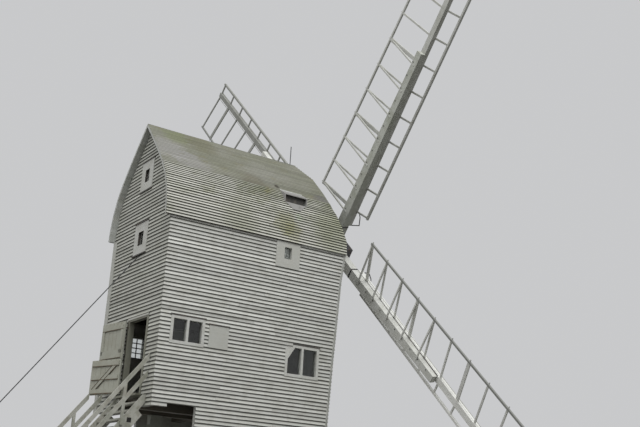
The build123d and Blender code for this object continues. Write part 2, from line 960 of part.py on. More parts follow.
with BuildPart() as poll_end:
    with BuildSketch(Plane.YZ.offset(-poll_long / 2)):
        Rectangle(poll_side, poll_side)
    extrude(amount=poll_long)
    for plane, front in ((Plane.XZ, outer_front), (Plane.XY, inner_front)):
        with BuildSketch(plane):
            with Locations((front - stock_deep / 2, 0)):
                Rectangle(stock_deep, stock_wide)
        extrude(amount=poll_side, both=True, mode=Mode.SUBTRACT)
mount(poll_end, "poll_end")


def along(start, end, share):
    """Value on the way from one end of a sail to the other."""
    return start + (end - start) * share


def sail(name, quarter, front, half, hem_heel, hem_tip):
    """One sail frame; front is the stock's front face, half its length to the tip.

    The hem lath runs from hem_heel to hem_tip behind the whip, which gives the
    sail its twist.
    """
    with BuildPart() as frame:
        sections = ((whip_heel, whip_wide, whip_thick), (sail_radius, whip_tip_wide, whip_tip_thick))
        for radius, wide, thick in sections:
            with BuildSketch(Plane.XY.offset(radius)):
                with Locations((front + thick / 2, whip_shift)):
                    Rectangle(thick, wide)
        loft()
        bar_x = front + whip_tip_thick / 2
        for across, heel, tip, size in (
            (hem_across, hem_heel, hem_tip, hem_size),
            (-lead_across, lead_x, lead_x, lead_size),
        ):
            start = (heel, across, first_bar - lath_over)
            end = (tip, across, last_bar + lath_over)
            stick(start, end, size, size, up=(0, 1, 0))
        for index in range(bar_count):
            share = index / (bar_count - 1)
            radius = along(first_bar, last_bar, share)
            hem = (along(hem_heel, hem_tip, share), hem_across, radius)
            root = (bar_x, whip_shift, radius)
            wide = plank_wide if index % wide_bar_every == 0 else bar_wide_side
            stick(hem, root, bar_deep, wide)
            stick(root, (lead_x, -lead_across, radius), bar_deep, bar_wide_side)
            if radius < half:
                rear = front - along(stock_deep, stock_tip_deep, radius / half)
                foot = (rear + stay_size / 4, -stay_foot_side / 2, radius - stay_foot_back)
                stick(hem, foot, stay_size, stay_size)
        half_stock(half, front, Mode.SUBTRACT)
    mount(frame, name, quarter)


sail("sail_near_upper", 0, inner_front, inner_stock_half, -234, 67)
sail("sail_near_lower", 1, outer_front, outer_stock_half, -142, -11)
sail("sail_far_lower", 2, inner_front, inner_stock_half, -234, 67)
sail("sail_far_upper", 3, outer_front, outer_stock_half, -142, -11)

# iron hoops that stand out in front of each whip's heel
with BuildPart() as sail_irons:
    for quarter in range(4):
        front = inner_front if quarter % 2 == 0 else outer_front
        share = (hoop_head - whip_heel) / (sail_radius - whip_heel)
        whip_face = front + along(whip_thick, whip_tip_thick, share) + touch
        turned = math.radians(90 * quarter)
        side = Plane(origin=(0, 0, 0), x_dir=(1, 0, 0), z_dir=(0, -math.cos(turned), -math.sin(turned)))
        with BuildLine(side) as bow:
            Polyline(
                (front, hoop_heel),
                (front + hoop_out, hoop_heel),
                (front + 0.8 * hoop_out, along(hoop_heel, hoop_head, 0.55)),
                (front + 0.6 * hoop_out, along(hoop_heel, hoop_head, 0.85)),
                (whip_face + 3 * hoop_radius, hoop_head),
                (whip_face, hoop_head),
            )
        with BuildSketch(Plane(origin=bow.line @ 0, z_dir=bow.line % 0)):
            RegularPolygon(hoop_radius, 8)
        sweep(transition=Transition.RIGHT)
mount(sail_irons, "sail_irons")
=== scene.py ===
import json
import math

import bmesh
import bpy
import mathutils
import numpy as np
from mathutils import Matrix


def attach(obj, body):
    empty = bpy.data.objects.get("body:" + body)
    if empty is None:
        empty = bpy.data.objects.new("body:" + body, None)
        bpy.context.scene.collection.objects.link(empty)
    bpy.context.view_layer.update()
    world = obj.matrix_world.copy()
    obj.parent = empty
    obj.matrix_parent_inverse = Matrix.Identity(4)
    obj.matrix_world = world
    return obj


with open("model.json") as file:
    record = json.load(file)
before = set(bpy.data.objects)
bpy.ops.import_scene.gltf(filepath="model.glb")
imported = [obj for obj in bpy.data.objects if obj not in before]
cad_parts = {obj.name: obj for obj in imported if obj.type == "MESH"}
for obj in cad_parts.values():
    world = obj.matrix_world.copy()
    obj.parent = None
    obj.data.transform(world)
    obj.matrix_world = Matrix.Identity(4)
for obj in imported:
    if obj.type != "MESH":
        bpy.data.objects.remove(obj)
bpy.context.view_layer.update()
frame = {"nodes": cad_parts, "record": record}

print("frame loaded:", len(frame["nodes"]), "nodes")

# measures of the mill in metres, about the post; postX puts them in the frame
mill = {
    "postX": 1.85,
    "tailX": -2.75,
    "halfWidth": 1.695,
    "baseZ": 4.3,
    "cornerX": -2.38,  # the side wall hangs lower behind this
    "cornerDrop": 0.09,
    "skirtRearX": -1.65,
    "skirtZ": 3.55,
    "eaveZ": 8.8,
    "roofHalf": 1.755,
    "roofFootZ": 8.76,
    "ridgeZ": 11.58,
}
tailX, halfWidth, baseZ, eaveZ = (mill[key] for key in ("tailX", "halfWidth", "baseZ", "eaveZ"))
frameShift = np.array([mill["postX"], 0.0, 0.0])
ringCorners = np.array([(-1, -1), (1, -1), (1, 1), (-1, 1)], float)
finishes = {}


def addObject(name, data):
    thing = bpy.data.objects.new(name, data)
    bpy.context.collection.objects.link(thing)
    return thing


# meshes from arrays of points, each with its finish's material; a slot name, like the finish unless told, is
# worked out but not set on the piece
def addPiece(name, points, faces, finish, slotName=None, body="buck", attributes=None):
    # one mesh from an array of points about the post, moved to the frame
    points = np.asarray(points, float).reshape(-1, 3) + frameShift
    mesh = bpy.data.meshes.new(name)
    mesh.from_pydata(points.tolist(), [], faces)
    for key, values in (attributes or {}).items():
        layer = mesh.attributes.new(key, "FLOAT", "POINT")
        layer.data.foreach_set("value", np.asarray(values, np.float32).ravel())
    work = bmesh.new()
    work.from_mesh(mesh)
    bmesh.ops.recalc_face_normals(work, faces=work.faces)
    work.to_mesh(mesh)
    work.free()
    piece = addObject(name, mesh)
    mesh.materials.append(finishes[finish])
    slotName = slotName or finish
    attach(piece, body)


def barFaces(count, rings, corners):
    # faces of count closed bars, each of some rings of corners
    index = np.arange(count * rings * corners).reshape(count, rings, corners)
    near, far = index[:, :-1], index[:, 1:]
    sides = np.stack([near, np.roll(near, -1, 2), np.roll(far, -1, 2), far], -1).reshape(-1, 4)
    ends = np.concatenate([index[:, 0, ::-1], index[:, -1]])
    return sides.tolist() + ends.tolist()


def unit(vectors):
    return vectors / np.linalg.norm(vectors, axis=-1, keepdims=True)


def addBoxes(name, centres, halves, finish, slotName=None, axes=np.eye(3), body="buck", tones=None):
    # each corner is the centre plus or minus half a size along three directions
    centres = np.asarray(centres, float)
    count = len(centres)
    halves = np.broadcast_to(halves, (count, 3))
    axes = np.broadcast_to(axes, (count, 3, 3))
    signs = np.zeros((2, 4, 3))
    signs[..., :2] = ringCorners
    signs[..., 2] = [[-1], [1]]
    local = signs * halves[:, None, None]
    points = centres[:, None, None] + np.einsum("nrck,nkj->nrcj", local, axes)
    attributes = {} if tones is None else {"tone": np.broadcast_to(tones[:, None, None], points.shape[:3])}
    addPiece(name, points, barFaces(count, 2, 4), finish, slotName, body, attributes)


def addSpans(name, spans, finish, slotName=None, axes=np.eye(3), start=(0, 0, 0), body="buck"):
    # boxes from their two ends along three directions, measured from a start
    spans = np.asarray(spans, float)
    halves = abs(spans[..., 1] - spans[..., 0]) / 2
    addBoxes(name, start + spans.mean(2) @ axes, halves, finish, slotName, axes, body)


def bothSides(x, y, z):
    # the same box on the near side and on the far side
    return [(x, (side * y[0], side * y[1]), z) for side in (-1, 1)]


def about(middle, half):
    return middle - half, middle + half


def addRods(name, starts, ends, radius, corners, finish, slotName=None, body="buck"):
    # a ring at each end: the end plus the radius times cosine sideways and sine upwards
    starts, ends = np.asarray(starts, float), np.asarray(ends, float)
    direction = unit(ends - starts)
    helper = np.where(np.abs(direction[:, 2:]) > 0.9, [[1.0, 0.0, 0.0]], [[0.0, 0.0, 1.0]])
    side = unit(np.cross(direction, helper))
    up = np.cross(side, direction)
    angle = (2 * math.pi * np.arange(corners) / corners)[:, None]
    ring = radius * (side[:, None] * np.cos(angle) + up[:, None] * np.sin(angle))
    points = np.stack([starts[:, None] + ring, ends[:, None] + ring], 1)
    addPiece(name, points, barFaces(len(starts), 2, corners), finish, slotName, body)


# materials
def newMaterial(name):
    material = bpy.data.materials.new(name)
    material.use_nodes = True
    material.node_tree.nodes.clear()
    return material


def addNode(owner, kind, settings=None, **inputs):
    # a node with its settings, its values, and its links given as sockets
    node = owner.node_tree.nodes.new(kind)
    for key, value in (settings or {}).items():
        setattr(node, key, value)
    for key, value in inputs.items():
        socket = node.inputs[int(key[2:]) if key[2:].isdigit() else key]
        if isinstance(value, bpy.types.NodeSocket):
            owner.node_tree.links.new(value, socket)
        elif socket.type == "RGBA":
            socket.default_value = (*value, 1.0)
        else:
            socket.default_value = value
    return node


def scaled(owner, value, factor, plus=0.0):
    # value * factor + plus
    settings = {"operation": "MULTIPLY_ADD"}
    return addNode(owner, "ShaderNodeMath", settings, in0=value, in1=factor, in2=plus).outputs[0]


def mixColour(owner, factor, first, second, blend="MIX"):
    settings = {"data_type": "RGBA", "blend_type": blend}
    return addNode(owner, "ShaderNodeMix", settings, in0=factor, in6=first, in7=second).outputs[2]


def ramp(owner, value, low, high):
    # a soft step from 0 at low to 1 at high
    settings = {"interpolation_type": "SMOOTHSTEP"}
    return addNode(owner, "ShaderNodeMapRange", settings, in0=value, in1=low, in2=high).outputs[0]


def overlay(owner, colour, value, step, share, shade):
    # a shade laid over the colour where the value passes a soft step
    return mixColour(owner, scaled(owner, ramp(owner, value, *step), share), colour, shade)


def objectPoint(owner, scale=(1, 1, 1)):
    coordinates = addNode(owner, "ShaderNodeTexCoord").outputs["Object"]
    return addNode(owner, "ShaderNodeMapping", Vector=coordinates, Scale=scale).outputs[0]


def noise(owner, scale, stretch=(1, 1, 1), detail=4.0, rough=0.55, distortion=0.0):
    node = addNode(
        owner, "ShaderNodeTexNoise", Vector=objectPoint(owner, stretch),
        Scale=scale, Detail=detail, Roughness=rough, Distortion=distortion,
    )
    return node.outputs[0]


def attribute(owner, name):
    return addNode(owner, "ShaderNodeAttribute", {"attribute_name": name}).outputs["Fac"]


def addShader(owner, values):
    shader = addNode(owner, "ShaderNodeBsdfPrincipled", **values)
    addNode(owner, "ShaderNodeOutputMaterial", in0=shader.outputs[0])
    return owner


def finishSurface(owner, colour, rough, height, bumpStrength, bumpDistance, specular):
    bump = addNode(owner, "ShaderNodeBump", Strength=bumpStrength, Distance=bumpDistance, Height=height)
    return addShader(owner, {
        "Base Color": colour, "Roughness": rough, "Specular IOR Level": specular, "Normal": bump.outputs[0],
    })


def boardTone(owner, colour, level, look):
    # a level of light and dark, a tone for each board, and painted shade with some grime under each lap
    level = scaled(owner, attribute(owner, "tone"), level, level)
    grey = addNode(owner, "ShaderNodeCombineColor", in0=level, in1=level, in2=level).outputs[0]
    colour = mixColour(owner, 1.0, colour, grey, "MULTIPLY")
    return overlay(owner, colour, attribute(owner, "lapShadeAndGrime"), look["lapStep"], look["lapShadeAndGrimeShare"], look["lapShadeAndGrimeColour"])


timber = {  # what all woods have in common; a surface is bump strength, bump depth and specular level
    "grain": {"scale": 1.0, "detail": 6.0, "rough": 0.6},
    "patches": {"scale": 3.6, "detail": 5.0, "rough": 0.65, "distortion": 0.3},
    "speckle": {"scale": 38.0, "detail": 3.0},
    "stains": {"scale": 1.6, "detail": 6.0, "rough": 0.7},
    "grainWear": 0.35, "wornStep": (0.64, 0.78), "stainStep": (0.42, 0.68), "speckleTone": (0.12, 0.94),
    "wornRough": 0.15, "patchHeight": 0.6, "surface": (0.35, 0.006, 0.35),
}
paleBoards = {
    "paint": (0.505, 0.51, 0.48), "bare": (0.38, 0.375, 0.34), "stain": (0.33, 0.335, 0.29),
    # the colour laid under each lap, with its share and step, is painted shade with some grime
    "lapShadeAndGrimeColour": (0.055, 0.055, 0.046), "grain": (3, 3, 60), "wornShare": 0.45, "stainShare": 0.3,
    "stainScale": (0.5, 0.5, 6), "grainTone": 0.24, "rough": 0.6, "lapShadeAndGrimeShare": 0.0, "lapStep": (0.4, 0.8),
}


def timberFinish(name, changes):
    # paint or bare wood: fine grain along one axis, worn patches and stains
    look = {**paleBoards, **changes}
    wood = newMaterial(name)
    grain = noise(wood, stretch=look["grain"], **timber["grain"])
    patches = noise(wood, **timber["patches"])
    stains = noise(wood, stretch=look["stainScale"], **timber["stains"])
    worn = ramp(wood, scaled(wood, grain, timber["grainWear"], patches), *timber["wornStep"])
    colour = mixColour(wood, scaled(wood, worn, look["wornShare"]), look["paint"], look["bare"])
    colour = overlay(wood, colour, stains, timber["stainStep"], look["stainShare"], look["stain"])
    level = scaled(wood, grain, look["grainTone"], 1.0 - 0.5 * look["grainTone"])
    speckle = scaled(wood, noise(wood, **timber["speckle"]), *timber["speckleTone"])
    colour = boardTone(wood, colour, scaled(wood, level, speckle), look)
    if "hem" in look:  # a measure across the sail, as a dot product, picks out the hem lath
        direction, step, paint = look["hem"]
        across = addNode(
            wood, "ShaderNodeVectorMath", {"operation": "DOT_PRODUCT"}, in0=objectPoint(wood), in1=direction,
        ).outputs["Value"]
        colour = overlay(wood, colour, across, step, 1.0, paint)
    rough = scaled(wood, worn, timber["wornRough"], look["rough"])
    height = scaled(wood, patches, timber["patchHeight"], grain)
    return finishSurface(wood, colour, rough, height, *timber["surface"])


planedGrain = {"grain": (8, 8, 40)}
evenStains = {"stainScale": (1.2, 1.2, 1.2)}
sailGrain = {"grain": (12, 12, 12), **evenStains}
timberLooks = {  # each finish with its material and what differs from the pale boards
    "white_board": ("weatheredBoards", {"lapShadeAndGrimeShare": 0.92}),
    "frame_paint": ("framePaint", {**planedGrain, "paint": (0.47, 0.475, 0.45)}),
    # darker than the side boards, partly stains and partly painted shade of the tail wall
    "tail_board": ("sootyBoards", {
        "paint": (0.44, 0.445, 0.405), "stain": (0.27, 0.28, 0.22), "stainShare": 0.4, "lapShadeAndGrimeShare": 0.92,
    }),
    "hatch_paint": ("hatchPaint", {**planedGrain, "paint": (0.4, 0.405, 0.375)}),
    # darker than the boards, partly stains and partly painted shade at the breast's corner
    "shaded_corner_paint": ("cornerPaint", {
        "paint": (0.27, 0.275, 0.26), "stain": (0.16, 0.17, 0.135), "stainShare": 0.6,
    }),
    "soffit_paint": ("greySoffit", {
        "paint": (0.4, 0.41, 0.39), "stain": (0.25, 0.265, 0.22), "stainShare": 0.5,
    }),
    "jamb_paint": ("mossyJamb", {
        "paint": (0.19, 0.19, 0.155), "bare": (0.15, 0.145, 0.11), "stain": (0.11, 0.115, 0.075),
        "grain": (8, 8, 2), "stainScale": (2, 2, 1),
    }),
    "door_paint": ("fadedDoorPaint", {
        "paint": (0.335, 0.34, 0.29), "bare": (0.3, 0.295, 0.245), "stain": (0.25, 0.24, 0.185),
        "grain": (30, 30, 2.5), "grainTone": 0.12, "stainShare": 0.4, "stainScale": (2, 2, 1),
    }),
    "stair_wood": ("weatheredStair", {
        "paint": (0.36, 0.36, 0.32), "bare": (0.25, 0.24, 0.2), "stain": (0.14, 0.15, 0.11),
        **evenStains, "grain": (6, 24, 6), "stainShare": 0.6, "wornShare": 0.7,
    }),
    "sail_wood": ("sailPaint", {**sailGrain, "paint": (0.44, 0.445, 0.42), "bare": (0.3, 0.3, 0.265)}),
    "stock_wood": ("stockPaint", {
        "paint": (0.4, 0.41, 0.375), "bare": (0.29, 0.29, 0.25), "stain": (0.22, 0.235, 0.175),
        **evenStains, "grain": (10, 10, 10), "stainShare": 0.5,
    }),
    "pale_stock": ("paleStockPaint", {
        "paint": (0.6, 0.605, 0.575), "bare": (0.46, 0.46, 0.42), "stain": (0.38, 0.39, 0.34),
        **evenStains, "grain": (10, 10, 10), "stainShare": 0.4,
    }),
    "pane_blind": ("paneBlind", {
        **planedGrain, "paint": (0.42, 0.42, 0.4), "bare": (0.38, 0.38, 0.36), "stain": (0.34, 0.34, 0.32),
    }),
    "tarred_oak": ("tarredOak", {
        "paint": (0.045, 0.042, 0.038), "bare": (0.14, 0.12, 0.1), "stain": (0.09, 0.085, 0.07),
        **evenStains, "grain": (9, 9, 9), "rough": 0.5, "grainTone": 0.4,
    }),
    # oak and floor boards darkened beyond the wood's own colour, as painted shade under and inside the body
    "oak": ("agedOak", {
        "paint": (0.1, 0.09, 0.072), "bare": (0.14, 0.125, 0.1), "stain": (0.065, 0.058, 0.046),
        **evenStains, "grain": (7, 7, 40), "grainTone": 0.5,
    }),
    "floor_board": ("wornFloor", {
        "paint": (0.085, 0.072, 0.052), "bare": (0.13, 0.11, 0.082), "stain": (0.05, 0.042, 0.03),
        **evenStains, "grain": (2.5, 40, 40), "grainTone": 0.5,
    }),
}
for finish, (name, changes) in timberLooks.items():
    finishes[finish] = timberFinish(name, changes)

lichen = {  # noise, steps and shares of the roof's growth
    "grain": {"scale": 1.0, "stretch": (3, 50, 50), "detail": 6.0, "rough": 0.6},
    "broad": {"scale": 1.3, "stretch": (0.5, 0.9, 0.9), "detail": 7.0, "rough": 0.68, "distortion": 0.4},
    "spots": {"scale": 9.0, "detail": 6.0, "rough": 0.75},
    "yellow": {"scale": 2.4, "stretch": (0.8, 1.2, 1.2), "detail": 6.0, "rough": 0.7},
    "flecks": {"scale": 1.0, "stretch": (5, 24, 24), "detail": 5.0, "rough": 0.7},
    "broadCover": 0.8, "spotCover": 0.35, "highCover": 0.16, "greenStep": (0.52, 0.82),
    "yellowStep": (0.52, 0.7), "darkStep": (0.62, 0.78), "fleckStep": (0.56, 0.68), "grainTone": (0.25, 0.87),
    "grainHeight": 0.6, "ragged": 2.2, "stainStep": (1.5, 2.1), "rough": 0.82,
    "surface": (0.45, 0.008, 0.25),
}


def stainSpot(owner, place, reach, share, spots):
    # share * falling off with distance / reach, with a ragged edge
    gap = addNode(
        owner, "ShaderNodeVectorMath", {"operation": "DISTANCE"},
        in0=objectPoint(owner), in1=tuple(np.array(place) + frameShift),
    ).outputs["Value"]
    edge = scaled(owner, gap, 1.0 / reach, scaled(owner, spots, lichen["ragged"]))
    return scaled(owner, ramp(owner, edge, *lichen["stainStep"]), -share, share)


def roofFinish(name, look):
    # grey boards under patches of green and yellow lichen, thickest high up
    roof = newMaterial(name)
    grain, broad, yellow, flecks = (
        noise(roof, **lichen[key]) for key in ("grain", "broad", "yellow", "flecks")
    )
    spots = noise(roof, stretch=look["spotScale"], **lichen["spots"])
    height = addNode(roof, "ShaderNodeSeparateXYZ", Vector=objectPoint(roof)).outputs["Z"]
    high = ramp(roof, height, *look["lichenStep"])
    cover = scaled(roof, spots, lichen["spotCover"], scaled(roof, high, lichen["highCover"]))
    green = ramp(roof, scaled(roof, broad, lichen["broadCover"], cover), *lichen["greenStep"])
    colour = mixColour(roof, scaled(roof, green, look["greenShare"]), look["board"], look["green"])
    mustard = scaled(roof, ramp(roof, yellow, *lichen["yellowStep"]), look["yellowShare"])
    colour = mixColour(roof, scaled(roof, mustard, green), colour, look["yellow"])
    for mask, step, share in ((spots, "darkStep", "darkShare"), (flecks, "fleckStep", "fleckShare")):
        colour = overlay(roof, colour, mask, lichen[step], look[share], look["dark"])
    for place, reach, share, shade in look["stains"]:
        colour = mixColour(roof, stainSpot(roof, place, reach, share, spots), colour, shade)
    colour = boardTone(roof, colour, scaled(roof, grain, *lichen["grainTone"]), look)
    bumps = scaled(roof, grain, lichen["grainHeight"], spots)
    return finishSurface(roof, colour, lichen["rough"], bumps, *lichen["surface"])


lichenLook = {
    "board": (0.49, 0.49, 0.445), "green": (0.2, 0.215, 0.13), "yellow": (0.27, 0.245, 0.09),
    # the colour laid under each lap, with its share and step, is painted shade with some grime
    "dark": (0.1, 0.1, 0.078), "lapShadeAndGrimeColour": (0.028, 0.028, 0.02), "greenShare": 0.85, "yellowShare": 0.6,
    "darkShare": 0.5, "fleckShare": 0.12, "lapShadeAndGrimeShare": 1.0, "lapStep": (0.28, 0.75), "lichenStep": (9.0, 11.4),
    "spotScale": (1, 1, 1),
    "stains": (  # place about the post, reach, strength, colour
        ((0.42, -1.69, 9.24), 0.44, 0.5, (0.25, 0.25, 0.1)),
        ((0.62, -1.72, 9.05), 0.36, 0.45, (0.26, 0.255, 0.11)),
        ((0.85, -1.62, 9.5), 0.16, 0.7, (0.42, 0.47, 0.36)),
        ((-0.93, -1.7, 9.15), 0.7, 0.3, (0.22, 0.24, 0.13)),
        ((1.9, -1.65, 9.3), 0.8, 0.45, (0.21, 0.23, 0.11)),
    ),
}
finishes["roof_board"] = roofFinish("lichenRoof", lichenLook)
finishes["roof_top"] = roofFinish("mossyRoofTop", {
    **lichenLook, "board": (0.225, 0.225, 0.19), "green": (0.17, 0.175, 0.13), "dark": (0.085, 0.08, 0.06),
    "yellow": (0.19, 0.175, 0.1), "greenShare": 0.8, "darkShare": 0.95, "fleckShare": 0.4, "lapShadeAndGrimeShare": 0.5,
    "lichenStep": (8.0, 11.4), "spotScale": (0.45, 1, 1),
    "stains": (
        ((-2.6, -0.75, 10.8), 0.7, 0.55, (0.29, 0.285, 0.285)),
        ((-2.0, -1.05, 10.45), 0.6, 0.5, (0.28, 0.275, 0.275)),
        ((-2.2, -0.2, 11.35), 0.5, 0.6, (0.165, 0.185, 0.095)),
        ((-1.5, -0.3, 11.3), 0.6, 0.5, (0.135, 0.13, 0.075)),
        ((0.1, -0.8, 10.7), 0.8, 0.35, (0.27, 0.27, 0.245)),
        ((1.83, -1.17, 10.3), 0.34, 0.7, (0.15, 0.145, 0.14)),
        ((-1.13, -1.22, 10.25), 0.12, 0.9, (0.05, 0.045, 0.035)),
        ((0.42, -1.1, 10.4), 0.1, 0.9, (0.05, 0.045, 0.035)),
        ((-0.3, -1.15, 10.35), 0.5, 0.5, (0.13, 0.115, 0.08)),
    ),
})

metal = {
    "patches": {"detail": 7.0, "rough": 0.7}, "patchStep": (0.5, 0.66), "patchRough": 0.25,
    "fine": {"scale": 60.0, "detail": 4.0}, "surface": (0.3, 0.003, 0.5),
}


def metalFinish(name, look):
    # dull metal with rust or stains in patches
    iron = newMaterial(name)
    patches = ramp(iron, noise(iron, look["scale"], **metal["patches"]), *metal["patchStep"])
    colour = mixColour(iron, scaled(iron, patches, look["share"]), look["iron"], look["rust"])
    rough = scaled(iron, patches, metal["patchRough"], look["rough"])
    fine = noise(iron, **metal["fine"])
    return finishSurface(iron, colour, rough, fine, *metal["surface"])


metalLooks = {
    "black_iron": ("blackIron", {
        "iron": (0.022, 0.023, 0.025), "rust": (0.11, 0.055, 0.03),
        "scale": 7.0, "share": 0.5, "rough": 0.5,
    }),
    # near-black, as painted shade inside a hole
    "hole_shade": ("darkHole", {
        "iron": (0.012, 0.011, 0.01), "rust": (0.02, 0.018, 0.015),
        "scale": 5.0, "share": 0.3, "rough": 0.95,
    }),
    "wire": ("wireRope", {
        "iron": (0.035, 0.036, 0.037), "rust": (0.08, 0.05, 0.035),
        "scale": 12.0, "share": 0.3, "rough": 0.55,
    }),
    "lead": ("leadSheet", {
        "iron": (0.235, 0.23, 0.22), "rust": (0.16, 0.158, 0.145),
        "scale": 5.0, "share": 0.6, "rough": 0.65,
    }),
    # rust colour, laid also as painted shadow under the door's ledges, along its brace and in the hinge gap
    "rustyEdge": ("rustyEdge", {
        "iron": (0.1, 0.085, 0.06), "rust": (0.14, 0.075, 0.035),
        "scale": 9.0, "share": 0.8, "rough": 0.85,
    }),
}
for finish, (name, look) in metalLooks.items():
    finishes[finish] = metalFinish(name, look)

clay = {
    "spots": {"scale": 14.0, "detail": 7.0, "rough": 0.7}, "fine": {"scale": 90.0, "detail": 4.0},
    "toneStep": (-0.5, 0.5), "sootStep": (0.5, 0.7), "sootShare": 0.45, "rough": 0.88,
    "surface": (0.4, 0.004, 0.2),
}


def brickFinish(name, look):
    # fired clay or mortar, each brick with its own tone
    brick = newMaterial(name)
    spots = noise(brick, **clay["spots"])
    tone = ramp(brick, attribute(brick, "tone"), *clay["toneStep"])
    colour = mixColour(brick, tone, look["dark"], look["light"])
    colour = overlay(brick, colour, spots, clay["sootStep"], clay["sootShare"], look["soot"])
    height = scaled(brick, spots, 1.0, noise(brick, **clay["fine"]))
    return finishSurface(brick, colour, clay["rough"], height, *clay["surface"])


finishes["brick"] = brickFinish("firedBrick", {
    "dark": (0.17, 0.062, 0.038), "light": (0.3, 0.13, 0.08), "soot": (0.1, 0.07, 0.055),
})
finishes["mortar"] = brickFinish("limeMortar", {
    "dark": (0.34, 0.32, 0.27), "light": (0.42, 0.4, 0.35), "soot": (0.24, 0.22, 0.18),
})


def glassFinish(name, look):
    # thin clear glass with a little dust
    glass = newMaterial(name)
    dust = ramp(glass, noise(glass, 5.0, detail=5.0), *look["dustStep"])
    return addShader(glass, {
        "Base Color": look["tint"], "Transmission Weight": 1.0, "IOR": look["bend"],
        "Roughness": scaled(glass, dust, look["dust"], look["rough"]),
    })


finishes["pane"] = glassFinish("windowPane", {
    "tint": (0.8, 0.83, 0.82), "bend": 1.45, "dustStep": (0.4, 0.75), "dust": 0.06, "rough": 0.02,
})

slotOf = {row["node"]: row["material_slot"] for row in frame["record"]["subparts"]}
ownFinish = {  # nodes that look different from others of their slot
    "side_shutters": "hatch_paint", "roof": "soffit_paint", "door_frame": "jamb_paint",
    "outer_stock": "pale_stock", "roof_hood": "lead", "brick_piers": "mortar",
}
for node, piece in frame["nodes"].items():
    piece.data.materials.clear()
    piece.data.materials.append(finishes[ownFinish.get(node, slotOf[node])])
print("materials ready:", len(finishes))


# weatherboards
boards = {
    "exposure": 0.0918,  # height that shows of each board
    "butt": 0.023,  # thickness at its lower edge
    "feather": 0.004,
    "tuck": 0.004,  # how far it runs up behind the next
    "rise": (0.0, 0.0, 0.03, 1.0, 1.0),  # heights of the wedge's corners, as shares of what shows
    "bevel": 0.002,
    "lapShadeAndGrime": (1.0, 1.0, 0.0, 1.0, 1.0),  # painted shade with some grime under the lower edge and below the next board
    "wave": 0.0022, "waveTurns": (2.3, 5.1), "waveShares": (1.0, 0.6),  # they wander up and down
    "thickSpread": 0.12, "toneSpread": 0.075, "rings": 7, "seed": 11,
    "longest": 3.1, "shortest": 0.02, "jointAt": (0.3, 0.7), "jointGap": 0.0025,
    "inset": 0.07,  # end boards stop short of the roof's outer face
    "gableFrom": 0.1,  # the tail's courses narrow from this far under the eave
    "gableTop": 11.4, "least": 0.05, "slack": 0.01,
}
exposure, endCorners = boards["exposure"], (-halfWidth, halfWidth)
chance = np.random.default_rng(boards["seed"])


def lapBoards(name, runs, finish, slotName=None, butt=boards["butt"]):
    # runs: a row for each board, start, end, up, out, the height that shows and
    # which ends are mitred; a wedge section (rise, standing out) is carried along
    # each, and a mitre shifts each corner along the board by how far it stands out
    starts, ends, ups, outs, shown, mitres = (np.array(column, float) for column in zip(*runs))
    ups, outs, direction = unit(ups), unit(outs), unit(ends - starts)
    stand = np.array([0.0, butt - boards["bevel"], butt, boards["feather"], 0.0])
    along = np.linspace(0.0, 1.0, boards["rings"])
    count = len(runs)
    base = starts[:, None] + along[:, None] * (ends - starts)[:, None]
    phase = chance.uniform(0, 2 * math.pi, (count, 2, 1))
    turns, shares = (np.array(boards[key])[:, None] for key in ("waveTurns", "waveShares"))
    wander = boards["wave"] * (shares * np.sin(turns * along + phase)).sum(1)
    lift = np.array(boards["rise"]) * (shown[:, None, None] + boards["tuck"]) + wander[:, :, None]
    spread = boards["thickSpread"]
    depth = stand * (1 + chance.uniform(-spread, spread, (count, 1, 1)))
    shift = np.zeros_like(lift)
    shift[:, 0] = -depth[:, 0] * mitres[:, :1]
    shift[:, -1] = depth[:, 0] * mitres[:, 1:]
    points = (
        base[:, :, None]
        + lift[..., None] * ups[:, None, None]
        + depth[..., None] * outs[:, None, None]
        + shift[..., None] * direction[:, None, None]
    )
    tone = np.broadcast_to(chance.normal(0, boards["toneSpread"], (count, 1, 1)), lift.shape)
    # painted shade with some grime under each board's lower edge and below the next board
    lapShadeAndGrime = np.broadcast_to(boards["lapShadeAndGrime"], lift.shape)
    faces = barFaces(count, boards["rings"], len(stand))
    addPiece(name, points, faces, finish, slotName, attributes={"tone": tone, "lapShadeAndGrime": lapShadeAndGrime})


def splitRun(low, high):
    # boards of stock length, with joints at chance places
    if high - low <= boards["longest"]:
        return [(low, high)]
    middle = low + (high - low) * chance.uniform(*boards["jointAt"])
    return [(low, middle - boards["jointGap"] / 2), (middle + boards["jointGap"] / 2, high)]


def courseSpans(low, high, holes):
    # what is left of a course between its holes, from one end to the other, as boards
    edges = [low, *(min(max(edge, low), high) for hole in sorted(holes) for edge in hole), high]
    parts = [(a, b) for a, b in zip(edges[::2], edges[1::2]) if b - a > boards["shortest"]]
    return [board for part in parts for board in splitRun(*part)]


def courseRows(spans, place, up, out, shown, corners=(None, None)):
    # place turns a measure along the course into a point; ends at a wall's corner are mitred
    return [(place(a), place(b), up, out, shown, (a == corners[0], b == corners[1])) for a, b in spans]


